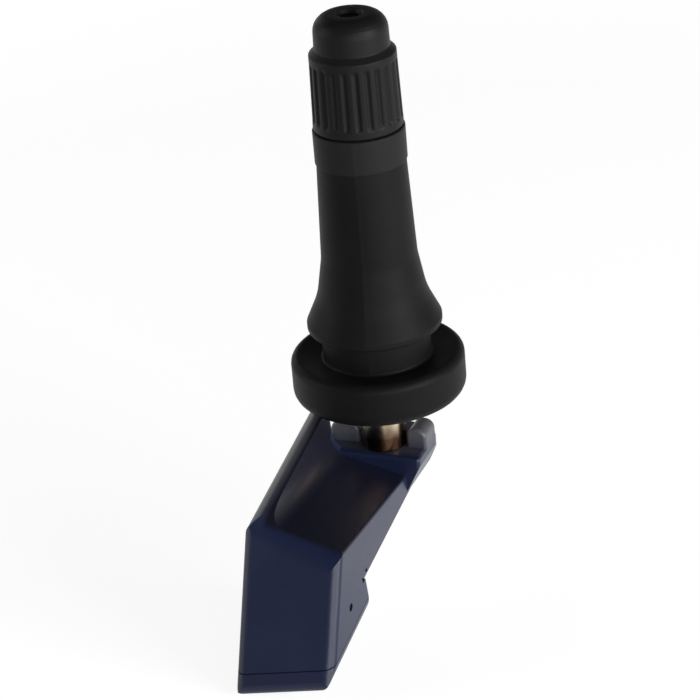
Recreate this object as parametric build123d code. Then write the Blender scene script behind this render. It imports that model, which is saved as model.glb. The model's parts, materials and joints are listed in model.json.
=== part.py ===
from build123d import *
import os
from math import acos, atan, cos, degrees, radians, sin, tan

os.makedirs("parts", exist_ok=True)

# Tyre pressure sensor on a snap-in rubber valve, in millimetres.
# Z is the stem axis, cap up. The origin is the middle of the groove that sits in the wheel's valve hole.
# The housing runs from the stem towards -Y and hangs below it.

# Rubber stem
groove_r = 5.9
groove_width = 3.6
lip_r = 7.35
lip_edge = 0.8
lip_round = 0.3
flare_height = 6.4
flare_bow = 0.55
stem_foot_r = 5.15
stem_head_r = 4.6
stem_length = 24.8
collar_length = 3.7
collar_step = 0.12
flange_r = 9.5
flange_thickness = 4.2
flange_top_round = 1.0
flange_bottom_round = 1.7
foot_r = 4.4
foot_length = 1.2

# Brass stem
thread_r = 3.85
thread_length = 6.0
thread_root = 1.2
insert_r = 3.2
anchor_r = 4.2
anchor_length = 1.6
anchor_drop = 2.4
neck_r = 2.45
core_bore_r = 2.65
core_bore_depth = 8.7
chamber_r = 2.1
air_bore_r = 1.4
air_port_r = 0.7
air_port_drop = 2.0
mouth_chamfer = 0.3

# Valve core
core_clearance = 0.04
plug_depth = 1.6
plug_length = 4.0
plug_bridge = 2.2
plug_notch = 1.8
barrel_length = 10.6
barrel_r = 1.85
barrel_bore_r = 1.35
barrel_shoulder = 1.0
seal_length = 1.1
pin_r = 0.6
pin_hole_r = 0.8
pin_recess = 0.4
pin_collar_r = 1.2
pin_collar_length = 0.6
pin_tail = 0.5
spring_wire_r = 0.14
spring_coil_r = 1.0
spring_turns = 7
spring_length = 7.0
cup_r = 1.7
cup_height = 2.2
washer_thickness = 1.1
washer_proud = 0.4
washer_r = 1.5
pin_travel = 1.6
chamber_spare = 0.8

# Valve cap
cap_clearance = 0.08
cap_gap = 0.3
cap_skirt_length = 7.7
cap_skirt_r = 4.75
cap_ledge_r = 4.45
cap_head_r = 3.85
cap_head_length = 4.5
cap_head_round = 1.7
cap_edge_round = 0.25
cap_dimple_r = 1.0
cap_dimple_depth = 0.35
cap_core_r = 2.4
cap_roof = 1.2
flute_count = 24
flute_r = 0.32
flute_depth = 0.2
flute_margin = 0.7
gasket_gap = 0.05
gasket_thickness = 0.7
gasket_hole_r = 1.6

# Cradle that holds the brass stem between two ears
cradle_drop = 6.9
cradle_height = 4.6
cradle_floor = 2.0
cradle_front = 3.0
cradle_back = 5.5
cradle_step = 0.4
cradle_corner = 3.5
cradle_round = 0.4
cradle_side = 1.0
cradle_foot = 3.2
pocket_clearance = 0.3
ear_left_width = 3.4
ear_right_width = 2.3
ear_height = 2.2
ear_front = 0.6
ear_depth = 3.0
ear_round = 1.0

# Screw from below into the brass stem
screw_r = 1.25
screw_clearance = 0.15
screw_bite = 3.4
screw_bore_spare = 0.4
screw_head_r = 2.3
screw_head_height = 1.5
screw_socket_r = 1.0
screw_socket_depth = 0.9
screw_socket_lobe = 0.32
screw_lobes = 6

# Housing body, in a frame tipped with its flat bottom
body_left = 7.6
body_right = 3.4
body_height = 15.4
body_tilt = 11.0
body_back_y = -16.2
body_top_z = -9.6
body_length = 13.1
toe_lean = 33.0
toe_round = 4.0
toe_side_round = 1.2
toe_side_ease = 0.02
toe_foot_round = 1.0
roof_fall = 2.9
bottom_fall = 1.6
shoulder_round = 2.0
heel_left = 1.4
heel_right = 3.2
back_height = 5.5
back_tab = 2.6
back_notch = 0.8
back_notch_width = 0.9
arm_end = 1.9
ridge_reach = 16.0
rib_flat = 0.15
scoop_lead = 0.1
scoop_grade = 0.275
scoop_round = 2.5
pocket_right = 0.4
pocket_length = 7.2
wall = 1.2
edge_round = 0.6
fine_round = 0.35

# Cover under the housing
cover_height = 2.6
cover_rim_height = 0.8
cover_rim_wall = 0.6
cover_clearance = 0.06
cover_seam = 0.1

# Electronics
board_thickness = 0.8
board_gap = 0.1
board_margin = 0.3
cell_thickness = 2.5
cell_rim = 0.35
cell_clearance = 0.2
cell_fill = 0.914
cell_middle = -0.6
tab_thickness = 0.15
tab_width = 2.4
tab_gap = 0.5
chip_length = 3.6
chip_thickness = 1.8
chip_inlet_r = 0.5
chip_inlet_depth = 0.4
chip_inlet_offset = 0.8
port_r = 0.45
seal_r = 1.2
crystal_length = 1.6
crystal_width = 1.2
crystal_thickness = 0.8
ferrite_length = 6.0
ferrite_section = 1.4
ferrite_end = 0.9
winding_wall = 0.3
loop_wire_r = 0.3
loop_span = 3.4
loop_height = 2.2
loop_margin = 1.0
small_part_length = 0.5
small_part_width = 0.4
small_part_height = 0.4
small_part_count = 4
inductor_length = 0.5
inductor_height = 0.6
inductor_count = 2
part_spacing = 0.2

# Heights along the stem that follow from the sizes above
groove_top = groove_width / 2
flange_top = -groove_width / 2
flange_bottom = flange_top - flange_thickness
foot_bottom = flange_bottom - foot_length
brass_top = stem_length + thread_length
seat_z = flange_bottom - cradle_drop
cradle_bottom = seat_z - cradle_height
screw_seat = seat_z - cradle_floor
ear_inner = neck_r + pocket_clearance
ear_left = -ear_inner - ear_left_width
cradle_right = ear_inner + ear_right_width
plug_top = brass_top - plug_depth
plug_bottom = plug_top - plug_length
barrel_bottom = plug_bottom - barrel_length
bore_shoulder = brass_top - core_bore_depth
cup_top = barrel_bottom - washer_proud
cup_bottom = cup_top - cup_height
pin_bottom = cup_bottom - pin_tail
pin_top = brass_top - pin_recess
chamber_bottom = pin_bottom - pin_travel - chamber_spare
air_port_z = foot_bottom - air_port_drop
spring_bottom = barrel_bottom + barrel_shoulder
spring_top = spring_bottom + spring_length
cap_bottom = stem_length + cap_gap
cap_ledge = cap_bottom + cap_skirt_length
cap_top = cap_ledge + cap_head_length
gasket_bottom = brass_top + gasket_gap
gasket_top = gasket_bottom + gasket_thickness

# The body's frame: y runs back along the flat bottom, z up from it
body_frame = Pos(0, body_back_y, body_top_z - body_height) * Rot(X=body_tilt)
toe_shift = tan(radians(toe_lean))
body_width = body_left + body_right
rib_width = shoulder_round + fine_round + rib_flat
bottom_slope = bottom_fall / body_width
roof_slope = roof_fall / body_width
right_height = body_height - roof_fall
scoop_start = right_height * toe_shift - body_length
rim_inset = wall + cover_clearance
clear_inset = rim_inset + cover_rim_wall
inner_right = body_right - wall


def floor_height(x, y):
    """Height of the sunk floor, which falls to the right and to the back."""
    return right_height + scoop_lead + roof_slope * (body_right - x) - scoop_grade * (y - scoop_start)


# Places of the electronics in the body's frame
board_face = pocket_right - clear_inset - board_gap
board_x = board_face - board_thickness
board_low = wall + board_margin - bottom_slope * (body_right - board_face)
board_high = right_height - wall - board_margin
board_back = pocket_length - clear_inset - board_margin
cell_right = board_x - tab_gap
cell_left = cell_right - cell_thickness
cell_low = wall + cell_clearance - bottom_slope * (body_right - cell_right)
cell_high = floor_height(cell_right, cell_middle) - wall
floor_cos = cos(atan(scoop_grade))
cell_r = cell_fill * ((cell_high - cell_low) * floor_cos - cell_clearance) / (1 + floor_cos)
cell_z = cell_low + cell_r
lean_cos = cos(radians(toe_lean))
cell_span = pocket_length - tab_thickness - cell_clearance - body_length * lean_cos
cell_y = (cell_span + cell_z * sin(radians(toe_lean))) / (1 + lean_cos)
parts_back = -clear_inset - part_spacing
chip_y = parts_back - chip_length / 2
port_y = chip_y - chip_inlet_offset
coil_y = parts_back - ferrite_length / 2
coil_z = board_low + part_spacing + ferrite_section / 2
inductor_z = board_high - part_spacing - inductor_height / 2
crystal_y = parts_back - crystal_length / 2
crystal_z = inductor_z - inductor_height / 2 - part_spacing - crystal_width / 2
row_z = crystal_z - crystal_width / 2 - part_spacing - small_part_width / 2
port_z = (coil_z + ferrite_section / 2 + row_z - small_part_width / 2) / 2
loop_z = board_low + 2 * loop_wire_r
loop_y = (clear_inset + loop_margin) / cos(radians(toe_lean)) - body_length + loop_z * toe_shift


def turned(*points):
    """Solid of revolution about Z from radius and height pairs."""
    return revolve(Plane.XZ * make_face(Polyline(*points, close=True)), Axis.Z)


def tube(outer, inner, low, high):
    """Ring about Z between two heights."""
    return turned((inner, low), (outer, low), (outer, high), (inner, high))


def rod(radius, low, high):
    """Plain round bar on Z between two heights."""
    return turned((0, low), (radius, low), (radius, high), (0, high))


def side_prism(points, left, right):
    """Prism along X of an outline given in the body's y and z."""
    return extrude(Plane.YZ.offset(left) * make_face(Polyline(*points, close=True)), right - left)


def block(x, y, z):
    """Box from low and high limits on each axis."""
    middle = ((x[0] + x[1]) / 2, (y[0] + y[1]) / 2, (z[0] + z[1]) / 2)
    return Pos(*middle) * Box(x[1] - x[0], y[1] - y[0], z[1] - z[0])


def brass_envelope():
    """Outside of the brass stem: thread, insert with its anchoring collar, bare neck."""
    anchor_top = flange_top - anchor_drop + anchor_length
    anchor_bottom = anchor_top - anchor_length
    return turned(
        (0, seat_z),
        (neck_r, seat_z),
        (neck_r, foot_bottom + foot_length / 2),
        (insert_r, foot_bottom + foot_length),
        (insert_r, anchor_bottom),
        (anchor_r, anchor_bottom),
        (anchor_r, anchor_top),
        (insert_r, anchor_top),
        (insert_r, stem_length - thread_root),
        (thread_r, stem_length - thread_root),
        (thread_r, brass_top - mouth_chamfer),
        (thread_r - mouth_chamfer, brass_top),
        (0, brass_top),
    )


def brass_stem():
    """Turned brass stem with the core's stepped bore, a side air port and a tapped hole below."""
    chamber_cone = core_bore_r - chamber_r
    bore = turned(
        (0, air_port_z - air_bore_r),
        (air_bore_r, air_port_z - air_bore_r),
        (air_bore_r, chamber_bottom - chamber_cone),
        (chamber_r, chamber_bottom),
        (chamber_r, bore_shoulder - chamber_cone),
        (core_bore_r, bore_shoulder),
        (core_bore_r, brass_top - mouth_chamfer),
        (core_bore_r + mouth_chamfer, brass_top),
        (0, brass_top),
    )
    port = Pos(0, neck_r, air_port_z) * Rot(X=90) * Cylinder(air_port_r, 2 * neck_r)
    tapped = rod(screw_r, seat_z, seat_z + screw_bite + screw_bore_spare)
    return brass_envelope() - bore - port - tapped


def valve_stem_rubber():
    """Rubber stem: collar, taper, flared lip, groove, flange and foot, moulded round the brass."""
    lip_top = groove_top + lip_edge
    stem_foot = lip_top + flare_height
    collar_bottom = stem_length - collar_length
    flare = SagittaArc((lip_r, lip_top), (stem_foot_r, stem_foot), flare_bow)
    shaft = Polyline(
        (stem_foot_r, stem_foot),
        (stem_head_r, collar_bottom),
        (stem_head_r + collar_step, collar_bottom),
        (stem_head_r + collar_step, stem_length),
        (0, stem_length),
        (0, foot_bottom),
        (foot_r - foot_length / 2, foot_bottom),
        (foot_r, flange_bottom),
    )
    flange = FilletPolyline(
        (foot_r, flange_bottom),
        (flange_r, flange_bottom),
        (flange_r, flange_top),
        (groove_r, flange_top),
        (groove_r, groove_top),
        (lip_r, groove_top),
        (lip_r, lip_top),
        radius=(flange_bottom_round, flange_top_round, lip_round, lip_round, lip_round),
    )
    outline = make_face(flange + flare + shaft)
    return revolve(Plane.XZ * outline, Axis.Z) - brass_envelope()


def core_plug():
    """Threaded plug with a bridge across its top for the core tool."""
    plug_r = core_bore_r - core_clearance
    plug = tube(plug_r, pin_hole_r, plug_bottom, plug_top)
    cheek = block((plug_bridge / 2, 2 * plug_r), (-plug_r, plug_r), (plug_top - plug_notch, plug_top))
    return plug - cheek - mirror(cheek, Plane.YZ)


def core_barrel():
    """Barrel under the plug; the spring stands on its inner shoulder and the washer seals its end."""
    return turned(
        (pin_hole_r, barrel_bottom),
        (barrel_r, barrel_bottom),
        (barrel_r, plug_bottom),
        (barrel_bore_r, plug_bottom),
        (barrel_bore_r, spring_bottom),
        (pin_hole_r, spring_bottom),
    )


def core_barrel_seal():
    """Cone ring that seals the barrel against the step of the bore."""
    ring_top_r = core_bore_r - core_clearance
    ring_low_r = chamber_r - core_clearance
    cone = core_bore_r - chamber_r
    return turned(
        (barrel_r, bore_shoulder - cone),
        (ring_low_r, bore_shoulder - cone),
        (ring_top_r, bore_shoulder),
        (ring_top_r, bore_shoulder - cone + seal_length),
        (barrel_r, bore_shoulder - cone + seal_length),
    )


def core_pin():
    """Valve pin with the collar that the spring pushes up and a riveted tail."""
    return turned(
        (0, pin_bottom),
        (pin_r, pin_bottom),
        (pin_r, spring_top),
        (pin_collar_r, spring_top),
        (pin_collar_r, spring_top + pin_collar_length),
        (pin_r, spring_top + pin_collar_length),
        (pin_r, pin_top - pin_r / 2),
        (pin_r / 2, pin_top),
        (0, pin_top),
    )


def core_spring():
    """Round-wire coil between the barrel's shoulder and the pin's collar."""
    coil_height = spring_length - 2 * spring_wire_r
    coil = Helix(coil_height / spring_turns, coil_height, spring_coil_r)
    section = Plane(origin=coil @ 0, z_dir=coil % 0) * Circle(spring_wire_r)
    return Pos(0, 0, spring_bottom + spring_wire_r) * sweep(section, path=coil)


def core_seat_cup():
    """Cup on the pin's lower end that holds the sealing washer."""
    washer_seat = barrel_bottom - washer_thickness
    return turned(
        (pin_r, cup_bottom),
        (cup_r - (cup_r - washer_r), cup_bottom),
        (cup_r, cup_bottom + (cup_r - washer_r)),
        (cup_r, cup_top),
        (washer_r, cup_top),
        (washer_r, washer_seat),
        (pin_r, washer_seat),
    )


def core_seat_washer():
    """Rubber washer that closes the barrel's lower end."""
    return tube(washer_r, pin_r, barrel_bottom - washer_thickness, barrel_bottom)


def valve_cap():
    """Cap with a tapered fluted skirt, a ledge and a narrower rounded head."""
    skin = FilletPolyline(
        (0, cap_bottom),
        (cap_skirt_r, cap_bottom),
        (cap_ledge_r, cap_ledge),
        (cap_head_r, cap_ledge + cap_ledge_r - cap_head_r),
        (cap_head_r, cap_top),
        (0, cap_top),
        radius=(cap_edge_round, cap_edge_round, cap_edge_round, cap_head_round),
    )
    body = revolve(Plane.XZ * make_face(skin + Line((0, cap_top), (0, cap_bottom))), Axis.Z)
    bore_r = thread_r + cap_clearance
    hollow = turned(
        (0, cap_bottom),
        (bore_r, cap_bottom),
        (bore_r, gasket_top),
        (cap_core_r, gasket_top),
        (cap_core_r, cap_top - cap_roof - cap_core_r / 2),
        (cap_core_r / 2, cap_top - cap_roof),
        (0, cap_top - cap_roof),
    )
    dimple = Pos(0, 0, cap_top) * Cylinder(cap_dimple_r, 2 * cap_dimple_depth)
    lean = (cap_skirt_r - cap_ledge_r) / cap_skirt_length
    flute_low = cap_bottom + flute_margin
    flute_high = cap_ledge - flute_margin
    flute_mid = (flute_low + flute_high) / 2
    flute_x = cap_skirt_r - lean * (flute_mid - cap_bottom) + flute_r - flute_depth
    flute = Cylinder(flute_r, flute_high - flute_low)
    leaning = Pos(flute_x, 0, flute_mid) * Rot(Y=-degrees(lean)) * flute
    flutes = PolarLocations(0, flute_count) * leaning
    return body - hollow - dimple - flutes


def cap_gasket():
    """Sealing disc that lies loose in the cap on the brass mouth."""
    return tube(thread_r, gasket_hole_r, gasket_bottom, gasket_top - gasket_gap)


def stem_screw():
    """Pan-head screw with a six-lobed socket, from below into the brass stem."""
    head_low = screw_seat - screw_head_height
    crown = screw_head_height / 3
    body = turned(
        (0, head_low),
        (screw_head_r - crown, head_low),
        (screw_head_r, head_low + crown),
        (screw_head_r, screw_seat),
        (screw_r, screw_seat),
        (screw_r, seat_z + screw_bite),
        (0, seat_z + screw_bite),
    )
    socket = rod(screw_socket_r - screw_socket_lobe, head_low, head_low + screw_socket_depth)
    lobe = rod(screw_socket_lobe, head_low, head_low + screw_socket_depth)
    lobes = PolarLocations(screw_socket_r - screw_socket_lobe, screw_lobes) * lobe
    return body - socket - lobes


def body_outline(inset=0.0):
    """Side outline of the body and arm in the body's frame, moved inwards by a wall."""
    arm_low = floor_height(body_right, ridge_reach) - arm_end
    front = inset / cos(radians(toe_lean)) - body_length
    low = -2 * bottom_fall
    high = 2 * body_height
    return (
        (front + low * toe_shift, low),
        (-inset, low),
        (-inset, back_height + inset),
        (ridge_reach - inset, arm_low + inset),
        (ridge_reach - inset, high),
        (front + high * toe_shift, high),
    )


def rounding(corner, first, second, radius):
    """Flat cutter that leaves a radius between two faces, from their corner and directions in y and z."""
    corner = Vector(*corner)
    first = Vector(*first).normalized()
    second = Vector(*second).normalized()
    middle = (first + second).normalized()
    half = acos(middle.dot(first))
    reach = radius / tan(half)
    spread = 8 * radius
    outside = [(side * side.dot(middle) - middle).normalized() * spread for side in (first, second)]
    start = corner + first * reach
    end = corner + second * reach
    arc = ThreePointArc(start, corner + middle * (radius / sin(half) - radius), end)
    return make_face(arc + Polyline(end, end + outside[1], start + outside[0], start))


def edge_cutter(face, inset, run):
    """Cutter along an edge across the body, from its face at the left wall and its run to the right wall."""
    step = Vector(*run)
    start = Plane(origin=Vector(inset - body_left, 0, 0) - step, x_dir=(0, 1, 0), z_dir=(1, 0, 0))
    return extrude(start * face, 3 * step.length, dir=step.normalized())


def toe_rounding(inset=0.0):
    """Cutter over the toe, along a roof that falls to the right."""
    high = body_height - inset
    front = inset / cos(radians(toe_lean)) - body_length
    downward = (-sin(radians(toe_lean)), -cos(radians(toe_lean)))
    face = rounding((front + high * toe_shift, high), (1, 0), downward, toe_round - inset)
    return edge_cutter(face, inset, (body_width - 2 * inset, -roof_fall * toe_shift, -roof_fall))


def toe_foot():
    """Cutter along the bottom edge of the toe, which is lower on the left."""
    upward = (sin(radians(toe_lean)), cos(radians(toe_lean)))
    corner = (-body_length - bottom_fall * toe_shift, -bottom_fall)
    face = rounding(corner, (1, 0), upward, toe_foot_round)
    return edge_cutter(face, 0, (body_width, bottom_fall * toe_shift, bottom_fall))


def toe_corner(x, inward):
    """Leaning cutter on one upright corner of the toe."""
    low = -2 * bottom_fall
    x -= inward * toe_side_ease
    face = rounding((x, low * toe_shift - body_length), (inward, 0), (0, 1), toe_side_round)
    lean = (0, sin(radians(toe_lean)), cos(radians(toe_lean)))
    return extrude(Pos(0, 0, low) * face, 2 * body_height, dir=lean)


def body_section(inset=0.0):
    """Run of the cross-section: taller on the left, round at the shoulder and at the lower right."""
    left = inset - body_left
    right = body_right - inset
    low = min(inset, wall)
    high = body_height - inset
    turns = (edge_round, shoulder_round, heel_left, heel_right)
    outline = FilletPolyline(
        (right, high - roof_slope * (right - left)),
        (left, high),
        (left, low - bottom_slope * (body_right - left)),
        (right, low - bottom_slope * (body_right - right)),
        radius=[max(turn - inset, edge_round) for turn in turns],
        close=True,
    )
    return extrude(Plane.XZ * make_face(outline), 2 * (body_length + ridge_reach), both=True)


def scoop(left, depth=0.0):
    """Space above the sunk floor between cradle and toe, right of a place in x and sunk by a depth."""
    right = 3 * body_right
    high = 3 * body_height
    outline = FilletPolyline(
        (left, high),
        (left, floor_height(left, scoop_start) - depth),
        (right, floor_height(right, scoop_start) - depth),
        (right, high),
        radius=scoop_round,
    )
    face = make_face(outline + Line(outline @ 1, outline @ 0))
    start = Plane(origin=(0, scoop_start, 0), x_dir=(1, 0, 0), z_dir=(0, -1, 0))
    return extrude(start * face, 4 * ridge_reach, dir=Vector(0, 1, -scoop_grade).normalized())


def body_block(inset=0.0):
    """Body of the housing without its sunk floor, or the same moved inwards by a wall."""
    main = side_prism(body_outline(inset), -2 * body_left, 2 * body_right)
    front = -2 * wall - inset
    back = pocket_length - inset
    low = -2 * bottom_fall
    rear = ((front, low), (back, low), (back, body_height), (front, body_height))
    main += side_prism(rear, -2 * body_left, pocket_right - inset)
    return main & body_section(inset)


def body_skin():
    """Outside of the body: rib with a rounded shoulder beside the sunk floor, rounded toe and toe corners."""
    shell = body_block() - scoop(rib_width - body_left)
    rib = shell.edges().sort_by_distance((rib_width - body_left, 0, body_height))[0]
    side = shell.edges().sort_by_distance((body_right, 0, floor_height(body_right, 0)))[0]
    shell = fillet([rib, side], fine_round)
    return shell - toe_rounding() - toe_corner(-body_left, 1) - toe_corner(body_right, -1)


def body_room(inset):
    """Room inside the body under the sunk floor, with the toe's rounding."""
    return body_block(inset) - scoop(-2 * body_left, inset) - toe_rounding(inset)


def ear(inner, outer):
    """Upright ear beside the brass neck, arched from the front."""
    low = seat_z - cradle_round
    high = seat_z + ear_height
    outline = FilletPolyline((inner, low), (inner, high), (outer, high), (outer, low), radius=ear_round)
    face = make_face(outline + Line(outline @ 1, outline @ 0))
    front = Plane(origin=(0, -ear_front, 0), x_dir=(1, 0, 0), z_dir=(0, -1, 0))
    plate = extrude(front * face, -ear_depth)
    rim = plate.faces().sort_by(Axis.Y)[0].edges().sort_by(Axis.Z)[1:]
    return fillet(rim, fine_round)


def cradle_slope():
    """Cutter that leans the right side of the cradle inwards below a short upright part."""
    top = Vector(cradle_right, seat_z - cradle_side)
    foot = Vector(cradle_foot, cradle_bottom)
    above = top * 2 - foot
    below = foot * 2 - top
    face = make_face(Polyline(above, below, (above.X, below.Y), close=True))
    return extrude(Plane.XZ * face, 2 * cradle_back, both=True)


def cradle():
    """Block under the flange with two ears, which holds the brass stem."""
    left = cradle_step - body_left
    plan = Rectangle(cradle_right - left, cradle_front + cradle_back, align=(Align.MIN, Align.MIN))
    plan = fillet(plan.vertices().group_by(Axis.Y)[-1], cradle_corner)
    plan = fillet(plan.vertices().group_by(Axis.Y)[0], cradle_round)
    shell = Pos(left, -cradle_front, cradle_bottom) * extrude(plan, cradle_height)
    shell = fillet(shell.edges().group_by(Axis.Z)[-1], cradle_round) - cradle_slope()
    return shell + ear(-ear_inner, ear_left) + ear(ear_inner, cradle_right)


def cradle_cuts():
    """Screw's hole through the floor, with a recess for its head."""
    recess = rod(screw_head_r + screw_clearance, cradle_bottom - wall, screw_seat)
    return recess + rod(screw_r + screw_clearance, screw_seat, seat_z)


def layer(low, high):
    """Slice of space between two heights above the body's bottom, along its slope."""
    size = 4 * (body_length + ridge_reach)
    slope = Rot(Y=-degrees(atan(bottom_slope)))
    return Pos(body_right, 0, 0) * slope * block((-size, size), (-size, size), (low, high))


def sensor_housing():
    """Moulded housing: body and arm with the room inside, cradle with ears and pressure port."""
    size = 4 * body_height
    room = body_room(wall) - block((-size, size), (pocket_length - wall, size), (-size, size))
    port = Pos(body_right, port_y, port_z) * Rot(Y=90) * Cylinder(port_r, 4 * wall)
    notch = block(
        (pocket_right + wall, 2 * body_right),
        (-back_notch, back_notch),
        (cover_height + back_tab, cover_height + back_tab + back_notch_width),
    )
    shell = body_skin() - room - port - notch - layer(-body_height, cover_height)
    return body_frame * shell + cradle() - cradle_cuts()


def housing_cover():
    """Shallow cover under the body, with a rim that locates inside the walls."""
    rim_top = cover_height + cover_rim_height
    shell = (body_skin() & layer(-body_height, cover_height - cover_seam)) - toe_foot()
    shell += body_room(rim_inset) & layer(wall, rim_top)
    return body_frame * (shell - (body_room(clear_inset) & layer(wall, body_height)))


def circuit_board():
    """Board on edge beside the cell, cut to the leaning toe and the sunk floor."""
    front = (clear_inset + board_margin) / cos(radians(toe_lean)) - body_length
    back_high = floor_height(board_face, board_back) - wall - board_margin
    outline = (
        (front + board_low * toe_shift, board_low),
        (board_back, board_low),
        (board_back, back_high),
        (board_back - (board_high - back_high) / scoop_grade, board_high),
        (front + board_high * toe_shift, board_high),
    )
    return body_frame * side_prism(outline, board_x, board_x + board_thickness)


def battery_cell():
    """Sealed coin cell on edge: can with a rounded rim and a smaller negative face."""
    can = Cylinder(cell_r, cell_thickness)
    rim = can.edges().filter_by(GeomType.CIRCLE).group_by(Axis.Z)
    can = chamfer(rim[0], cell_rim)
    groove = Cylinder(cell_r, cell_rim) - Cylinder(cell_r - 2 * cell_rim, cell_rim)
    can -= Pos(0, 0, cell_thickness / 2) * groove
    return body_frame * (Pos(cell_left + cell_thickness / 2, cell_y, cell_z) * Rot(Y=90) * can)


def battery_tab_negative():
    """Strip welded to the cell's inner face, with a foot soldered to the board."""
    low = cell_z - tab_width
    high = cell_z + tab_width
    y = (cell_y - tab_width / 2, cell_y + tab_width / 2)
    strip = block((cell_right, cell_right + tab_thickness), y, (low, high))
    foot = block((cell_right, board_x), y, (high - tab_thickness, high))
    return body_frame * (strip + foot)


def battery_tab_positive():
    """Strip welded to the cell's outer face, bent round its rim to the board."""
    bend = cell_y + cell_r + cell_clearance
    z = (cell_z - tab_width / 2, cell_z + tab_width / 2)
    strip = block((cell_left - tab_thickness, cell_left), (cell_y - tab_width, bend + tab_thickness), z)
    crossing = block((cell_left - tab_thickness, board_x), (bend, bend + tab_thickness), z)
    return body_frame * (strip + crossing)


def on_board(length, width, height, y, z):
    """Soldered part on the board's component side, from its middle on the board."""
    return Pos(board_face + height / 2, y, z) * Box(height, length, width)


def pressure_sensor_chip():
    """Sensor and controller package with its pressure inlet towards the housing wall."""
    package = on_board(chip_length, chip_length, chip_thickness, chip_y, port_z)
    inlet = Rot(Y=90) * Cylinder(chip_inlet_r, 2 * chip_inlet_depth)
    return body_frame * (package - Pos(board_face + chip_thickness, port_y, port_z) * inlet)


def pressure_port_seal():
    """Rubber tube from the chip's inlet to the hole in the housing wall."""
    low = board_face + chip_thickness
    length = inner_right - low
    ring = Cylinder(seal_r, length) - Cylinder(port_r, length)
    return body_frame * (Pos(low + length / 2, port_y, port_z) * Rot(Y=90) * ring)


def crystal():
    """Clock crystal in a metal can."""
    can = on_board(crystal_length, crystal_width, crystal_thickness, crystal_y, crystal_z)
    return body_frame * can


def coil_waist(length):
    """Waist of the ferrite, in the middle of its section."""
    waist = ferrite_section - 2 * winding_wall
    return Pos(winding_wall, 0, 0) * on_board(length, waist, waist, coil_y, coil_z)


def lf_antenna_core():
    """Dumb-bell ferrite of the receiving coil."""
    core = coil_waist(ferrite_length)
    shift = (ferrite_length - ferrite_end) / 2
    for y in (coil_y - shift, coil_y + shift):
        core += on_board(ferrite_end, ferrite_section, ferrite_section, y, coil_z)
    return body_frame * core


def lf_antenna_winding():
    """Winding round the waist of the ferrite."""
    length = ferrite_length - 2 * ferrite_end
    wound = on_board(length, ferrite_section, ferrite_section, coil_y, coil_z)
    return body_frame * (wound - coil_waist(length))


def rf_antenna_loop():
    """Wire bridge of the transmitter beside the cell, along the toe."""
    lean = radians(toe_lean)
    start = (board_x, loop_y, loop_z)
    along = Vector(0, sin(lean), cos(lean)) * loop_span
    out = Vector(-loop_height, 0, 0)
    corners = (Vector(*start), Vector(*start) + out, Vector(*start) + out + along, Vector(*start) + along)
    path = FilletPolyline(*corners, radius=2 * loop_wire_r)
    section = Plane(origin=path @ 0, z_dir=path % 0) * Circle(loop_wire_r)
    return body_frame * sweep(section, path=path)


def chip_row(count, length, width, height, z):
    """Row of equal soldered parts, from the back of the board's parts towards the toe."""
    pitch = length + part_spacing
    row = [on_board(length, width, height, parts_back - length / 2 - i * pitch, z) for i in range(count)]
    return Compound(children=[body_frame * piece for piece in row])


def chip_capacitors():
    """Row of small soldered parts above the chip."""
    return chip_row(small_part_count, small_part_length, small_part_width, small_part_height, row_z)


def chip_inductors():
    """Filter coils above the crystal."""
    return chip_row(inductor_count, inductor_length, inductor_height, inductor_height, inductor_z)


makers = (
    valve_stem_rubber,
    brass_stem,
    core_plug,
    core_barrel,
    core_barrel_seal,
    core_pin,
    core_spring,
    core_seat_cup,
    core_seat_washer,
    valve_cap,
    cap_gasket,
    stem_screw,
    sensor_housing,
    housing_cover,
    circuit_board,
    battery_cell,
    battery_tab_positive,
    battery_tab_negative,
    pressure_sensor_chip,
    pressure_port_seal,
    crystal,
    lf_antenna_core,
    lf_antenna_winding,
    rf_antenna_loop,
    chip_capacitors,
    chip_inductors,
)
for maker in makers:
    export_step(maker(), f"parts/{maker.__name__}.step")
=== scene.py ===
import json
import math

import bmesh
import bpy
import numpy as np
from mathutils import Matrix, Vector


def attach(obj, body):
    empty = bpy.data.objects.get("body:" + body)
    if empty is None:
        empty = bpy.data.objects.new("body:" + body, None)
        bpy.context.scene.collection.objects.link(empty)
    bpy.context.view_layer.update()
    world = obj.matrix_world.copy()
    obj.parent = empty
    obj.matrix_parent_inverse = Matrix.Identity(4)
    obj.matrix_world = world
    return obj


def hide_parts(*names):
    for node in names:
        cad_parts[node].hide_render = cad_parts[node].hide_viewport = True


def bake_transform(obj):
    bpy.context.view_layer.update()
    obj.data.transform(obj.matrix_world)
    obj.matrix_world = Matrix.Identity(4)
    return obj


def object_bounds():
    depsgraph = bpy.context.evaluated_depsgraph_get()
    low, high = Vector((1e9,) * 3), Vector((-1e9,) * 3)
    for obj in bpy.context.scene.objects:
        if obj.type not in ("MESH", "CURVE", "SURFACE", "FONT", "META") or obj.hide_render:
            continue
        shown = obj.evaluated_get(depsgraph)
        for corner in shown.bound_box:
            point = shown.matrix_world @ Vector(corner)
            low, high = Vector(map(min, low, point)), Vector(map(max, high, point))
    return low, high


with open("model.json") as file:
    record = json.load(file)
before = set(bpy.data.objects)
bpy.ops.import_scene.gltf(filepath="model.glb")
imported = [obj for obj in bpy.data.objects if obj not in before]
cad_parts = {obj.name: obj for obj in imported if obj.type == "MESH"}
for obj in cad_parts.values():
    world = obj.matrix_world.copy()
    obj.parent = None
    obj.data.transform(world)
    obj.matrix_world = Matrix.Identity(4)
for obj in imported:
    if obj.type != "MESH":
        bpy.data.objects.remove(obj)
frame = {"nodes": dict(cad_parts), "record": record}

mm = 0.001
fullTurn = 2 * np.pi
samePoint = 1e-5  # millimetres: points of a profile closer than this are one
weldGap = 1e-7  # metres: vertices of a mesh closer than this are one
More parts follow.
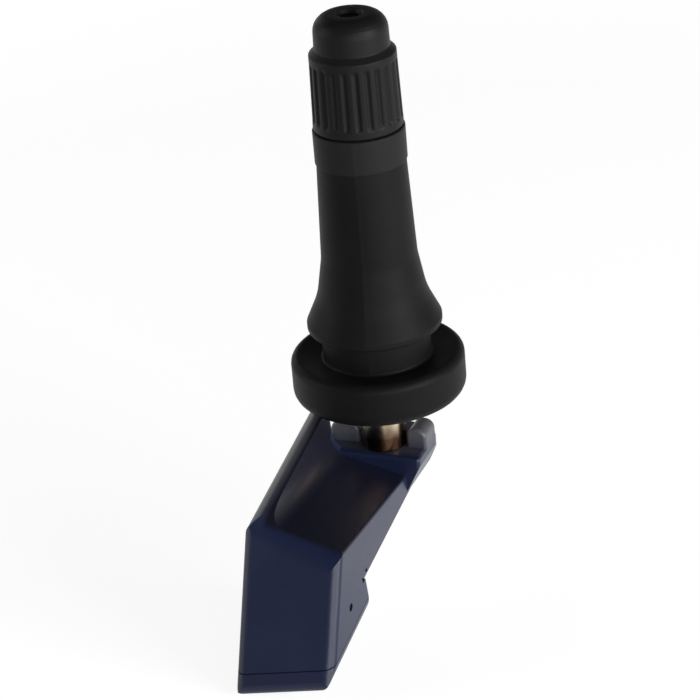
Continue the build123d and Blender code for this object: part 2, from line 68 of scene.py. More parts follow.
nodes = frame["nodes"]
cadBox = [[float(c) for c in corner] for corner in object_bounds()]
print("frame loaded,", len(nodes), "nodes")


# Shader maths: a value wraps one output socket, and an expression on values adds Math nodes
class Value:
    def __init__(self, paint, socket):
        self.paint, self.socket = paint, socket

    def calc(self, operation, first, second=0.0, clamp=False):
        settings = {"operation": operation, "use_clamp": clamp}
        return self.paint.node("ShaderNodeMath", settings, {0: first, 1: second})

    def __add__(self, other):
        return self.calc("ADD", self, other)

    def __sub__(self, other):
        return self.calc("SUBTRACT", self, other)

    def __rsub__(self, other):
        return self.calc("SUBTRACT", other, self)

    def __mul__(self, other):
        return self.calc("MULTIPLY", self, other)

    def __truediv__(self, other):
        return self.calc("DIVIDE", self, other)

    def __rtruediv__(self, other):
        return self.calc("DIVIDE", other, self)

    __radd__, __rmul__ = __add__, __mul__

    def clamped(self):
        return self.calc("ADD", self, 0.0, True)

    def sine(self):
        return self.calc("SINE", self)

    def root(self):
        return self.calc("SQRT", self)

    def most(self, other):
        return self.calc("MAXIMUM", self, other)

    def least(self, other):
        return self.calc("MINIMUM", self, other)


# A node tree with one method for every node: type, settings first, then sockets
class Paint:
    def __init__(self, tree):
        self.tree = tree

    def node(self, kind, settings=None, sockets=None, out=0):
        made = self.tree.nodes.new(kind)
        for key, setting in (settings or {}).items():
            setattr(made, key, setting)
        for key, given in (sockets or {}).items():
            if isinstance(given, Value):
                self.tree.links.new(given.socket, made.inputs[key])
            else:
                made.inputs[key].default_value = given
        return Value(self, made.outputs[out])


# A material with one Principled shader; constants go straight on its sockets
class Finish(Paint):
    def __init__(self, name, constants):
        self.material = bpy.data.materials.new(name)
        self.material.use_nodes = True
        super().__init__(self.material.node_tree)
        self.shader = self.tree.nodes["Principled BSDF"]
        for key, given in constants.items():
            self.shader.inputs[key].default_value = given
        self.coords = self.node("ShaderNodeTexCoord", out="Object")

    def feed(self, links):
        for key, given in links.items():
            self.tree.links.new(given.socket, self.shader.inputs[key])
        return self.material

    # One coordinate of the object, in millimetres
    def axis(self, name):
        return self.node("ShaderNodeSeparateXYZ", None, {"Vector": self.coords}, out=name) / mm

    # Noise whose clouds are about the given size in millimetres
    def noise(self, size, detail, rough=0.55, stretch=(1, 1, 1)):
        turned = self.node("ShaderNodeMapping", None, {"Vector": self.coords, "Scale": stretch})
        given = {"Vector": turned, "Scale": 1 / (size * mm), "Detail": detail, "Roughness": rough}
        return self.node("ShaderNodeTexNoise", None, given)

    # Two colours mixed by a factor, on the colour sockets of a Mix node
    def between(self, factor, first, second):
        given = {0: factor, 6: first, 7: second}
        given = {key: (*value, 1.0) if isinstance(value, tuple) else value for key, value in given.items()}
        return self.node("ShaderNodeMix", {"data_type": "RGBA"}, given, out=2)

    # A middle value plus the swing of each noise about its half
    def swing(self, middle, *noises):
        for noise, share in noises:
            middle = middle + (noise - 0.5) * share
        return middle.clamped()

    def bump(self, height, strength, depth):
        given = {"Height": height, "Strength": strength, "Distance": depth * mm}
        return self.node("ShaderNodeBump", None, given)


# Sheet of quads: each point of the grid is joined to the next in its row and column, either may close
def gridObject(name, points, wrapRows=False, wrapCols=False):
    rows, cols = points.shape[:2]
    index = np.arange(rows * cols).reshape(rows, cols)
    index = np.vstack([index, index[:1]]) if wrapRows else index
    index = np.hstack([index, index[:, :1]]) if wrapCols else index
    quads = np.stack([index[:-1, :-1], index[:-1, 1:], index[1:, 1:], index[1:, :-1]], axis=-1)
    mesh = bpy.data.meshes.new(name)
    mesh.from_pydata(points.reshape(-1, 3).tolist(), [], quads.reshape(-1, 4).tolist())
    shape = bmesh.new()
    shape.from_mesh(mesh)
    bmesh.ops.remove_doubles(shape, verts=shape.verts, dist=weldGap)  # closes the poles
    bmesh.ops.recalc_face_normals(shape, faces=shape.faces)
    shape.to_mesh(mesh)
    shape.free()
    mesh.polygons.foreach_set("use_smooth", np.ones(len(mesh.polygons), dtype=bool))
    piece = bpy.data.objects.new(name, mesh)
    bpy.context.scene.collection.objects.link(piece)
    return piece


# Profile of (radius, height, rounding): each corner becomes an arc tangent to its two sides
def roundedProfile(corners, closed, arcPoints):
    data = np.array(corners, float)
    place, radius = data[:, :2], data[:, 2]
    before = np.roll(place, 1, axis=0) - place
    after = np.roll(place, -1, axis=0) - place
    if not closed:
        before[0], after[-1] = -after[0], -before[-1]
    before /= np.linalg.norm(before, axis=1)[:, None]
    after /= np.linalg.norm(after, axis=1)[:, None]
    half = np.arccos(np.clip((before * after).sum(1), -1, 1)) / 2
    straight = half > math.radians(89)  # too flat for an arc, so the corner stays a point
    radius = np.where(straight, 0.0, radius)
    half = np.where(straight, math.radians(45), half)
    middle = before + after
    middle /= np.maximum(np.linalg.norm(middle, axis=1), samePoint)[:, None]
    centre = place + middle * (radius / np.sin(half))[:, None]
    first = place + before * (radius / np.tan(half))[:, None] - centre
    last = place + after * (radius / np.tan(half))[:, None] - centre
    sweep = np.pi - 2 * half
    share = np.linspace(0, 1, arcPoints)[None, :]
    mixFirst = np.sin((1 - share) * sweep[:, None]) / np.sin(sweep)[:, None]
    mixLast = np.sin(share * sweep[:, None]) / np.sin(sweep)[:, None]
    arcs = centre[:, None] + first[:, None] * mixFirst[..., None] + last[:, None] * mixLast[..., None]
    points = arcs.reshape(-1, 2)
    gap = np.linalg.norm(np.diff(points, axis=0), axis=1)
    return points[np.concatenate([[True], gap > samePoint])]


# Profile with more points: its length is cut into equal steps, and into finer ones in a zone
def denser(points, step, closed, fineStep=None, fineZone=None):
    line = np.vstack([points, points[:1]]) if closed else points
    run = np.concatenate([[0], np.cumsum(np.linalg.norm(np.diff(line, axis=0), axis=1))])
    spots = np.union1d(run, np.linspace(0, run[-1], int(run[-1] / step) + 2))
    if fineZone:
        fine = np.linspace(0, run[-1], int(run[-1] / fineStep) + 2)
        inZone = fineZone(np.interp(fine, run, line[:, 0]), np.interp(fine, run, line[:, 1]))
        spots = np.union1d(spots, fine[inZone])
    spots = spots[np.concatenate([[True], np.diff(spots) > samePoint])]
    made = np.stack([np.interp(spots, run, line[:, 0]), np.interp(spots, run, line[:, 1])], axis=1)
    return made[:-1] if closed else made


# Grid of a turned shape: angles along the columns, the profile's radii and heights along the rows
def turnedGrid(profile, angles):
    angle = np.linspace(0, fullTurn, angles, endpoint=False)[None, :]
    return np.broadcast_arrays(angle, profile[:, :1], profile[:, 1:])


# Points in metres: radius times the angle's cosine and sine, at the given height
def turnedPoints(radius, height, angle):
    radius, height, angle = np.broadcast_arrays(radius, height, angle)
    return np.stack([radius * np.cos(angle), radius * np.sin(angle), height], axis=-1) * mm


# Smooth step from 0 to 1 over a length: three times the square less twice the cube
def smooth(length, given):
    share = np.clip(given / length, 0, 1)
    return share * share * (3 - 2 * share)


# Fade at both ends: a smooth step after the low end times one before the high end
def endFade(height, low, high, length):
    return smooth(length, height - low) * smooth(length, high - height)


# Valve thread, 32 turns to the inch; flat is the share of a half pitch cut off crests and roots
threadSizes = {"pitch": 25.4 / 32, "depth": 0.45, "flat": 0.14}


# Thread groove: a triangle wave of height over pitch less angle over a turn, cut flat, times the depth
def threadGroove(angle, height, sizes):
    phase = height / threadSizes["pitch"] - angle / fullTurn
    wave = np.abs(2 * (phase - np.floor(phase)) - 1)
    flat = threadSizes["flat"]
    root = np.clip((1 - flat - wave) / (1 - 2 * flat), 0, 1)
    fade = endFade(height, sizes["threadLow"], sizes["threadHigh"], sizes["threadFade"])
    return threadSizes["depth"] * fade * root


# Sizes in millimetres; a profile's corners are radius, height and rounding
rubberSizes = {
    "angles": 160, "step": 0.35, "arcPoints": 7,
    "ridge": 0.05, "ridgeWidth": 0.16, "ridgeTurn": -78.0,
    "ridgeInner": 4.3, "ridgeLow": -5.6, "ridgeHigh": 24.5,
    "profile": [
        (3.2, 24.8, 0.0), (4.92, 24.8, 0.18), (4.92, 21.1, 0.05), (4.78, 21.1, 0.05), (5.2, 10.0, 6.0),
        (5.95, 5.6, 9.0), (7.35, 2.6, 0.25), (7.35, 1.8, 0.3), (5.9, 1.8, 0.3), (5.9, -1.8, 0.3),
        (9.5, -1.2, 0.9), (9.5, -6.6, 1.4), (4.4, -6.0, 0.1), (3.8, -7.2, 0.1), (2.45, -7.2, 0.0),
        (2.45, -6.6, 0.0), (3.2, -6.0, 0.0),
    ],
}


# Rubber stem: the profile's radius plus a bell-shaped mould ridge over the distance from the parting plane
def makeStemRubber(sizes):
    profile = denser(roundedProfile(sizes["profile"], True, sizes["arcPoints"]), sizes["step"], True)
    angle, radius, height = turnedGrid(profile, sizes["angles"])
    fromPlane = np.abs(np.sin(angle - math.radians(sizes["ridgeTurn"]))) * radius
    ridge = sizes["ridge"] * np.exp(-(fromPlane / sizes["ridgeWidth"]) ** 2)
    outside = (radius > sizes["ridgeInner"]) & (height < sizes["ridgeHigh"]) & (height > sizes["ridgeLow"])
    piece = gridObject("stemRubber", turnedPoints(radius + ridge * outside, height, angle), True, True)
    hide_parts("valve_stem_rubber")
    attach(piece, "stem")
    return piece


# The fine zone holds the thread and the air port; the profile goes up outside and down the stepped bore
brassSizes = {
    "angles": 160, "step": 0.6, "arcPoints": 4,
    "fineStep": 0.09, "fineInner": 2.4, "fineOuter": 4.0, "fineAbove": 24.8, "fineBelow": -8.2,
    "threadLow": 24.9, "threadHigh": 30.7, "threadFade": 0.3, "threadInner": 3.4,
    "neckRadius": 2.45, "neckSlack": 0.05,
    "portTurn": 90.0, "portHeight": -9.2, "portRadius": 0.7, "portDepth": 1.0, "portEdge": 0.15,
    "profile": [
        (0.0, -12.9, 0.0), (1.25, -12.9, 0.0), (2.45, -12.9, 0.1), (2.45, -6.6, 0.0), (3.2, -6.0, 0.0),
        (3.2, -4.2, 0.0), (4.2, -4.2, 0.0), (4.2, -2.6, 0.0), (3.2, -2.6, 0.0), (3.2, 23.6, 0.0),
        (3.85, 23.6, 0.0), (3.85, 30.5, 0.05), (3.55, 30.8, 0.05), (2.95, 30.8, 0.05), (2.65, 30.5, 0.05),
        (2.65, 22.1, 0.0), (2.1, 21.55, 0.0), (2.1, 8.7, 0.0), (1.4, 8.0, 0.0), (1.4, -9.0, 0.0),
        (0.0, -9.0, 0.0),
    ],
}


# Brass stem: the profile's radius less the thread's groove at the top, less a round dent for the air port
def makeBrassStem(sizes):
    def fineZone(radius, height):
        outside = (radius > sizes["fineInner"]) & (radius < sizes["fineOuter"])
        return outside & ((height > sizes["fineAbove"]) | (height < sizes["fineBelow"]))

    outline = roundedProfile(sizes["profile"], False, sizes["arcPoints"])
    profile = denser(outline, sizes["step"], False, sizes["fineStep"], fineZone)
    angle, radius, height = turnedGrid(profile, sizes["angles"])
    groove = threadGroove(angle, height, sizes) * (radius > sizes["threadInner"])
    around = (angle - math.radians(sizes["portTurn"])) * sizes["neckRadius"]
    fromPort = np.hypot(around, height - sizes["portHeight"]) / sizes["portRadius"]
    dent = sizes["portDepth"] * (1 - smooth(sizes["portEdge"], fromPort - 1 + sizes["portEdge"]))
    onNeck = np.abs(radius - sizes["neckRadius"]) < sizes["neckSlack"]
    piece = gridObject("brassStem", turnedPoints(radius - groove - dent * onNeck, height, angle), False, True)
    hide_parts("brass_stem")
    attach(piece, "stem")
    return piece


# The profile goes down outside, from the dimple in the head to the skirt's edge, and up the bore
capSizes = {
    "angles": 288, "step": 0.16, "arcPoints": 8,
    "flutes": 24, "fluteDepth": 0.22, "fluteHalf": 0.34, "fluteInner": 4.2,
    "fluteLow": 25.8, "fluteHigh": 32.4, "fluteFade": 0.35,
    "threadLow": 25.4, "threadHigh": 31.2, "threadFade": 0.4, "boreRadius": 3.93, "boreSlack": 0.02,
    "profile": [
        (0.0, 36.8, 0.0), (1.15, 36.8, 0.15), (1.45, 37.3, 0.15), (3.9, 37.3, 1.8), (4.0, 33.7, 0.25),
        (4.6, 33.1, 0.25), (4.8, 24.92, 0.2), (3.93, 24.92, 0.12), (3.93, 31.55, 0.0), (2.4, 31.55, 0.0),
        (2.4, 34.9, 0.0), (1.2, 36.1, 0.0), (0.0, 36.1, 0.0),
    ],
}


# Cap: the profile's radius less hollow flutes on the skirt, less the thread's ridges in the bore
def makeCap(sizes):
    outline = roundedProfile(sizes["profile"], False, sizes["arcPoints"])
    angle, radius, height = turnedGrid(denser(outline, sizes["step"], False), sizes["angles"])
    place = (angle * sizes["flutes"] / fullTurn) % 1 - 0.5
    across = np.abs(place) * fullTurn * radius / sizes["flutes"]
    hollow = np.clip(1 - (across / sizes["fluteHalf"]) ** 2, 0, 1) * (radius > sizes["fluteInner"])
    ends = endFade(height, sizes["fluteLow"], sizes["fluteHigh"], sizes["fluteFade"])
    inBore = np.abs(radius - sizes["boreRadius"]) < sizes["boreSlack"]
    cut = sizes["fluteDepth"] * ends * hollow + threadGroove(angle, height, sizes) * inBore
    piece = gridObject("capShell", turnedPoints(radius - cut, height, angle), False, True)
    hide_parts("valve_cap")
    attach(piece, "cap")
    return piece


springSizes = {"wire": 0.14, "coil": 1.0, "turns": 7, "low": 15.6, "high": 22.6, "perTurn": 28, "ring": 10}


# Valve spring: a round wire carried along a helix, which closes up as the pin's collar comes down on it
def makeSpring(sizes):
    along = np.linspace(0, 1, sizes["turns"] * sizes["perTurn"] + 1)
    share = np.concatenate([[0], along, [1]])[:, None]
    wire = sizes["wire"] * np.concatenate([[0], np.ones_like(along), [0]])[:, None]  # closed ends
    around = np.linspace(0, fullTurn, sizes["ring"], endpoint=False)[None, :]
    run = sizes["high"] - sizes["low"] - 2 * sizes["wire"]
    height = sizes["low"] + sizes["wire"] + run * share + wire * np.sin(around)
    points = turnedPoints(sizes["coil"] + wire * np.cos(around), height, fullTurn * sizes["turns"] * share)
    piece = gridObject("valveSpring", points, False, True)
    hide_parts("core_spring")
    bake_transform(piece)
    return piece


newPieces = {
    makeStemRubber(rubberSizes): "rubber_black",
    makeBrassStem(brassSizes): "brass_turned",
    makeCap(capSizes): "cap_plastic",
    makeSpring(springSizes): "spring_steel",
}
print("turned pieces and spring made:", len(newPieces))

# Rubber: colours from clean to dusty; the collar under the cap is duller, between two heights
rubberLook = {
    "gloss": 0.1, "cloudSize": 6.0, "cloudStart": 0.45, "cloudGain": 3.0, "cloudRough": 0.12,
    "grainSize": 0.16, "grainRough": 0.16, "bump": 0.25, "grainDepth": 0.02,
}
rubbers = {
    "rubber_black": {
        "name": "rubberBlack", "clean": (0.0052, 0.0052, 0.0055), "dusty": (0.008, 0.008, 0.0085),
        "rough": 0.54,
        "collar": {"low": 21.0, "high": 25.0, "sharp": 8.0, "colour": (0.0145, 0.0145, 0.0152)},
    },
    "rubber_red": {
        "name": "rubberRed", "clean": (0.22, 0.02, 0.015), "dusty": (0.3, 0.035, 0.025), "rough": 0.5,
    },
}


# Moulded rubber: clouds of dust mix the two colours, and a fine grain roughens it
def makeRubber(name, clean, dusty, rough, collar=None):
    look = rubberLook
    finish = Finish(name, {"IOR": 1.5, "Specular IOR Level": look["gloss"]})
    cloud = finish.noise(look["cloudSize"], detail=4.0)
    grain = finish.noise(look["grainSize"], detail=2.0)
    colour = finish.between(((cloud - look["cloudStart"]) * look["cloudGain"]).clamped(), clean, dusty)
    if collar:
        height = finish.axis("Z")
        above = ((height - collar["low"]) * collar["sharp"]).clamped()
        below = ((collar["high"] - height) * collar["sharp"]).clamped()
        colour = finish.between(above * below, colour, collar["colour"])
    return finish.feed({
        "Base Color": colour,
        "Roughness": finish.swing(rough, (grain, look["grainRough"]), (cloud, look["cloudRough"])),
        "Normal": finish.bump(grain, look["bump"], look["grainDepth"]),
    })


# Plastics: colours from dark to light, grain in millimetres, and the painted sheen and painted shade on the
# housing
plasticLook = {
    "flowSize": 7.0, "flowStretch": (1.0, 0.4, 1.0), "flowStart": 0.4, "flowGain": 2.5, "flowRough": 0.1,
    "grainRough": 0.14, "bump": 0.3,
}
# Painted sheen: a grey tone on the top of the rib and the ears, standing in for the light that catches them
housingPaintedSheen = {
    "low": -14.2, "high": -11.4, "front": -23.0, "back": -14.0, "rib": -4.95, "ears": -2.6,
    "spotSize": 0.5, "thin": 0.6, "spotGain": 0.6, "share": 0.95, "colour": (0.092, 0.092, 0.1),
}
# Painted shade: a dark tone on the sunk floor, where shade falls under the flange
recessPaintedShade = {
    "through": (0.0, -12.6, -13.5), "lean": (0.25, 0.07, 0.97), "soft": 0.4, "left": -5.6, "back": -3.0,
    "front": -24.2, "fade": 2.2, "share": 0.9, "colour": (0.0062, 0.0062, 0.0125),
}
plastics = {
    "cap_plastic": {
        "name": "capPlastic", "dark": (0.0072, 0.0072, 0.0074), "light": (0.0105, 0.0105, 0.0108),
        "rough": 0.5, "grainSize": 0.2, "grainDepth": 0.02, "gloss": 0.13,
    },
    "housing_plastic": {
        "name": "housingPlastic", "dark": (0.0078, 0.0125, 0.04), "light": (0.0098, 0.0155, 0.048),
        "rough": 0.38, "grainSize": 0.22, "grainDepth": 0.02, "gloss": 0.42,
        "paintedSheen": housingPaintedSheen, "paintedShade": recessPaintedShade,
    },
    "chip_black": {
        "name": "chipBlack", "dark": (0.012, 0.012, 0.012), "light": (0.02, 0.02, 0.02),
        "rough": 0.55, "grainSize": 0.12, "grainDepth": 0.01, "gloss": 0.4,
    },
    "ferrite_grey": {
        "name": "ferriteGrey", "dark": (0.03, 0.03, 0.032), "light": (0.055, 0.055, 0.058),
        "rough": 0.6, "grainSize": 0.1, "grainDepth": 0.01, "gloss": 0.4,
    },
    "part_tan": {
        "name": "partTan", "dark": (0.35, 0.24, 0.14), "light": (0.45, 0.32, 0.2),
        "rough": 0.5, "grainSize": 0.12, "grainDepth": 0.01, "gloss": 0.4,
    },
}


# Cover of the painted sheen: height times nearness to the back, on the rib or the ears only, broken into
# spots
def paintedSheenCover(finish, paintedSheen):
    x, y, z = [finish.axis(name) for name in "XYZ"]
    high = ((z - paintedSheen["low"]) / (paintedSheen["high"] - paintedSheen["low"])).clamped()
    near = ((y - paintedSheen["front"]) / (paintedSheen["back"] - paintedSheen["front"])).clamped()
    onRib = (paintedSheen["rib"] - x).clamped()
    onEars = (y - paintedSheen["ears"]).clamped()
    spots = (paintedSheen["thin"] + finish.noise(paintedSheen["spotSize"], detail=3.0) * paintedSheen["spotGain"]).clamped()
    return high * near * onRib.most(onEars) * spots * paintedSheen["share"]


# Cover of the painted shade: the least of the distances inside the sunk floor's plane and edges, made soft
def paintedShadeCover(finish, paintedShade):
    x, y, z = [finish.axis(name) for name in "XYZ"]
    above = paintedShade["soft"]
    for along, start, lean in zip((x, y, z), paintedShade["through"], paintedShade["lean"]):
        above = above + (along - start) * lean
    inside = (x - paintedShade["left"]).least(paintedShade["back"] - y).least(above) / paintedShade["soft"]
    return inside.least((y - paintedShade["front"]) / paintedShade["fade"]).clamped() * paintedShade["share"]


# Moulded plastic: flow marks along the body mix the two colours, and a spark-eroded grain roughens it
def makePlastic(name, dark, light, rough, grainSize, grainDepth, gloss, paintedSheen=None, paintedShade=None):
    look = plasticLook
    finish = Finish(name, {"IOR": 1.5, "Specular IOR Level": gloss})
    flow = finish.noise(look["flowSize"], detail=3.0, rough=0.5, stretch=look["flowStretch"])
    grain = finish.noise(grainSize, detail=2.0)
    colour = finish.between(((flow - look["flowStart"]) * look["flowGain"]).clamped(), dark, light)
    # Painted sheen, grey, on the top of the rib and the ears
    if paintedSheen:
        colour = finish.between(paintedSheenCover(finish, paintedSheen), colour, paintedSheen["colour"])
    # Painted shade, dark, on the sunk floor
    if paintedShade:
        colour = finish.between(paintedShadeCover(finish, paintedShade), colour, paintedShade["colour"])
    return finish.feed({
        "Base Color": colour,
        "Roughness": finish.swing(rough, (grain, look["grainRough"]), (flow, look["flowRough"])),
        "Normal": finish.bump(grain, look["bump"], grainDepth),
    })


# Metals: colours from bright to dull; the foot of the brass neck has painted shade, brown, between two
# heights
metalLook = {
    "ringSize": 0.08, "ringStretch": (0.05, 0.05, 1.0), "ringRough": 0.2, "bump": 0.2, "ringDepth": 0.01,
    "cloudSize": 2.4, "cloudStart": 0.4, "cloudGain": 2.6, "cloudRough": 0.2,
}
metals = {
    "brass_turned": {
        "name": "brassTurned", "bright": (0.66, 0.56, 0.42), "dull": (0.32, 0.22, 0.13), "rough": 0.2,
        "paintedNeckShade": {"low": -11.4, "high": -9.9, "ragged": 0.6, "colour": (0.12, 0.065, 0.04)},
    },
    "spring_steel": {
        "name": "springSteel", "bright": (0.62, 0.6, 0.57), "dull": (0.45, 0.43, 0.4), "rough": 0.3,
    },
    "screw_steel": {
        "name": "screwSteel", "bright": (0.5, 0.5, 0.51), "dull": (0.34, 0.34, 0.35), "rough": 0.34,
    },
    "cell_steel": {
        "name": "cellSteel", "bright": (0.66, 0.66, 0.65), "dull": (0.5, 0.5, 0.49), "rough": 0.3,
    },
}


# Turned metal: noise squeezed along Z gives fine rings, and clouds of tarnish mix the two colours
def makeTurned(name, bright, dull, rough, paintedNeckShade=None):
    look = metalLook
    finish = Finish(name, {"Metallic": 1.0})
    rings = finish.noise(look["ringSize"], detail=2.0, rough=0.5, stretch=look["ringStretch"])
    cloud = finish.noise(look["cloudSize"], detail=4.0)
    colour = finish.between(((cloud - look["cloudStart"]) * look["cloudGain"]).clamped(), bright, dull)
    # Painted shade: the foot of the neck is darkened below a height, standing in for the dark housing it
    # mirrors
    if paintedNeckShade:
        low = (paintedNeckShade["high"] - finish.axis("Z")) / (paintedNeckShade["high"] - paintedNeckShade["low"])
        colour = finish.between(finish.swing(low, (cloud, paintedNeckShade["ragged"])), colour, paintedNeckShade["colour"])
    return finish.feed({
        "Base Color": colour,
        "Roughness": finish.swing(rough, (rings, look["ringRough"]), (cloud, look["cloudRough"])),
        "Normal": finish.bump(rings, look["bump"], look["ringDepth"]),
    })


# Lanes are given in radians to the millimetre
boardLook = {
    "laneY": 5.2, "laneZ": 3.9, "laneGain": 4.0, "cloudSize": 1.2, "rough": 0.375, "cloudRough": 0.15,
    "mask": (0.012, 0.09, 0.03), "lane": (0.03, 0.17, 0.06), "bump": 0.15, "laneDepth": 0.02,
}


# Circuit board: the product of two sines gives copper lanes, which read lighter through the green mask
def makeBoard(name, look):
    finish = Finish(name, {"IOR": 1.5})
    lanes = (finish.axis("Y") * look["laneY"]).sine() * (finish.axis("Z") * look["laneZ"]).sine()
    cloud = finish.noise(look["cloudSize"], detail=2.0)
    shown = (lanes * look["laneGain"] + cloud).clamped()
    return finish.feed({
        "Base Color": finish.between(shown, look["mask"], look["lane"]),
        "Roughness": finish.swing(look["rough"], (cloud, look["cloudRough"])),
        "Normal": finish.bump(lanes, look["bump"], look["laneDepth"]),
    })


# Turns are given in radians to the millimetre
copperLook = {
    "turnY": 42.0, "turnGain": 0.3, "cloudSize": 0.8, "rough": 0.3, "cloudRough": 0.2,
    "shade": (0.36, 0.13, 0.05), "light": (0.72, 0.33, 0.15), "bump": 0.5, "turnDepth": 0.03,
}


# Wound copper: a sine across the coil gives the turns of enamelled wire
def makeCopper(name, look):
    finish = Finish(name, {"Metallic": 1.0})
    turns = (finish.axis("Y") * look["turnY"]).sine()
    cloud = finish.noise(look["cloudSize"], detail=2.0)
    lit = (turns * look["turnGain"] + cloud).clamped()
    return finish.feed({
        "Base Color": finish.between(lit, look["shade"], look["light"]),
        "Roughness": finish.swing(look["rough"], (cloud, look["cloudRough"])),
        "Normal": finish.bump(turns, look["bump"], look["turnDepth"]),
    })


finishes = {
    **{slot: makeRubber(**values) for slot, values in rubbers.items()},
    **{slot: makePlastic(**values) for slot, values in plastics.items()},
    **{slot: makeTurned(**values) for slot, values in metals.items()},
    "board_green": makeBoard("boardGreen", boardLook),
    "copper_wire": makeCopper("copperWire", copperLook),
}
slotOf = {part["node"]: part["material_slot"] for part in frame["record"]["subparts"]}
for name, piece in nodes.items():
    piece.data.materials.clear()
    piece.data.materials.append(finishes[slotOf[name]])
for piece, slot in newPieces.items():
    piece.data.materials.append(finishes[slot])
print("finishes made:", len(finishes))


# Strength by kind of ray: the light it casts, changed to another value for the camera and for mirrors
def byRay(paint, seen, mirrored, cast):
    names = ("Is Camera Ray", "Is Glossy Ray", "Is Transmission Ray")
    camera, glossy, glass = [paint.node("ShaderNodeLightPath", out=name) for name in names]
    return cast + camera * (seen - cast) + glossy.most(glass) * (mirrored - cast)


# Strengths of the air's walls and ceiling, as light and as seen in a gloss; the front is dimmed in a gloss
airSizes = {
    "seen": 1.0, "wallLight": 0.36, "wallMirror": 0.6, "ceilingLight": 0.03, "ceilingMirror": 0.03,
    "ceilingRise": 2.4, "frontDim": 0.45, "frontReach": 0.6,
}


# White air: walls turn into the dark ceiling with the direction's height, and the camera sees plain white
def makeAir(sizes):
    world = bpy.data.worlds.new("studioAir")
    bpy.context.scene.world = world
    world.use_nodes = True
    air = Paint(world.node_tree)
    facing = air.node("ShaderNodeTexCoord", out="Generated")
    backward = air.node("ShaderNodeSeparateXYZ", None, {"Vector": facing}, out="Y")
    upward = air.node("ShaderNodeSeparateXYZ", None, {"Vector": facing}, out="Z")
    ceiling = (upward * sizes["ceilingRise"]).clamped()
    light = sizes["wallLight"] + ceiling * (sizes["ceilingLight"] - sizes["wallLight"])
    mirror = sizes["wallMirror"] + ceiling * (sizes["ceilingMirror"] - sizes["wallMirror"])
    dim = sizes["frontDim"] + (backward + sizes["frontReach"]).clamped() * (1 - sizes["frontDim"])
    shade = byRay(air, sizes["seen"], mirror * dim, light)
    air.tree.links.new(shade.socket, air.tree.nodes["Background"].inputs["Color"])


# Span in metres, spreads and the gap under the part in millimetres
floorSizes = {
    "span": 3.0, "lines": 9, "gap": 0.15, "tone": 0.3, "rough": 0.9,
    "glow": 0.86, "farGlow": 1.0, "farSpread": 300.0, "farStart": 0.5,
    "frontMirror": 0.4, "backMirror": 0.95, "mirrorSpread": 40.0,
}


# Pale floor: a matt surface keeps the shadow, and a glow that only the camera and mirrors see whitens it
def makeFloor(sizes):
    line = np.linspace(-sizes["span"], sizes["span"], sizes["lines"])
    floorX, floorY = np.meshgrid(line, line)
    floorZ = np.full_like(floorX, cadBox[0][2] - sizes["gap"] * mm)
    floor = gridObject("floor", np.stack([floorX, floorY, floorZ], axis=-1))
    pale = Finish("floorPale", {"Base Color": (*[sizes["tone"]] * 3, 1.0), "Roughness": sizes["rough"]})
    x, y = pale.axis("X"), pale.axis("Y")
    behind = (y / sizes["mirrorSpread"] + 1.0).clamped()
    mirrored = sizes["frontMirror"] + behind * (sizes["backMirror"] - sizes["frontMirror"])
    far = ((x * x + y * y).root() / sizes["farSpread"] - sizes["farStart"]).clamped()
    seen = sizes["glow"] + far * (sizes["farGlow"] - sizes["glow"])
    glow = pale.node("ShaderNodeEmission", None, {"Color": byRay(pale, seen, mirrored, 0.0)})
    matt = Value(pale, pale.shader.outputs[0])
    both = pale.node("ShaderNodeAddShader", None, {0: glow, 1: matt})
    pale.tree.links.new(both.socket, pale.tree.nodes["Material Output"].inputs["Surface"])
    floor.data.materials.append(pale.material)
    return floor


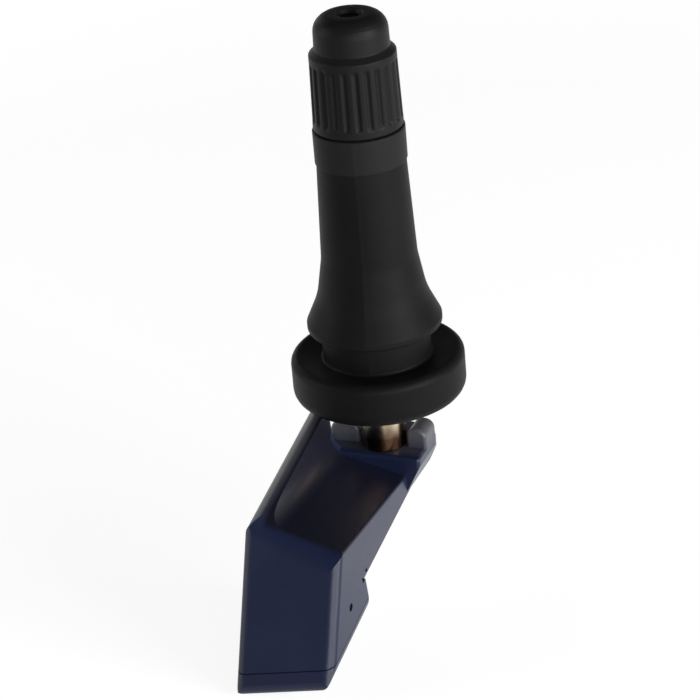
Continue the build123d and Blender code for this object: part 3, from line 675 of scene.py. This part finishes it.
# Places, aims and sizes in metres, power in watts
lamps = {
    "keyLeft": {"place": (-0.58, -0.2, 0.18), "aim": (0, 0, 0), "size": 0.4, "power": 1.3},
    "fillRight": {"place": (0.55, -0.15, 0.1), "aim": (0, 0, -0.01), "size": 0.35, "power": 4.2},
    "backLeft": {"place": (-0.49, 0.38, 0.2), "aim": (0, 0, 0), "size": 0.2, "power": 0.25},
    "frontRight": {"place": (0.33, -0.5, 0.06), "aim": (0, 0, -0.01), "size": 0.3, "power": 1.7},
}


# Soft lamp: a square area light turned from its place to its aim
def makeLamp(name, place, aim, size, power):
    data = bpy.data.lights.new(name, "AREA")
    data.size, data.energy = size, power
    lamp = bpy.data.objects.new(name, data)
    lamp.location = place
    lamp.rotation_euler = (Vector(aim) - Vector(place)).to_track_quat("-Z", "Y").to_euler()
    bpy.context.scene.collection.objects.link(lamp)


# Angles in degrees, distance and clipping in metres; the photo is square, and the origin is at one pixel
shot = {
    "azimuth": 22.0, "elevation": 26.0, "roll": 4.8, "distance": 0.3, "clip": (0.01, 20.0), "sensor": 36.0,
    "photoPixels": 700, "focalPixels": 2760.0, "originPixel": (376.3, 337.5),
}


# Camera of the photo: turned and raised round the origin, rolled, and shifted by the origin's pixel
def makeCamera(values):
    turn, rise, roll = [math.radians(values[key]) for key in ("azimuth", "elevation", "roll")]
    back = Vector((math.sin(turn) * math.cos(rise), -math.cos(turn) * math.cos(rise), math.sin(rise)))
    level = Vector((math.cos(turn), math.sin(turn), 0))
    upright = back.cross(level)
    right = level * math.cos(roll) - upright * math.sin(roll)
    above = upright * math.cos(roll) + level * math.sin(roll)
    pixels, origin = values["photoPixels"], values["originPixel"]
    data = bpy.data.cameras.new("photoCamera")
    data.sensor_width = values["sensor"]
    data.lens = values["focalPixels"] * values["sensor"] / pixels
    data.shift_x = 0.5 - origin[0] / pixels
    data.shift_y = origin[1] / pixels - 0.5
    data.clip_start, data.clip_end = values["clip"]
    camera = bpy.data.objects.new("photoCamera", data)
    turned = Matrix((right, above, back)).transposed().to_4x4()
    camera.matrix_world = Matrix.Translation(back * values["distance"]) @ turned
    bpy.context.scene.collection.objects.link(camera)
    bpy.context.scene.camera = camera


makeAir(airSizes)
floor = makeFloor(floorSizes)
for name, values in lamps.items():
    makeLamp(name, **values)
makeCamera(shot)
bpy.context.scene.view_settings.view_transform = "Standard"
print("studio and camera set")
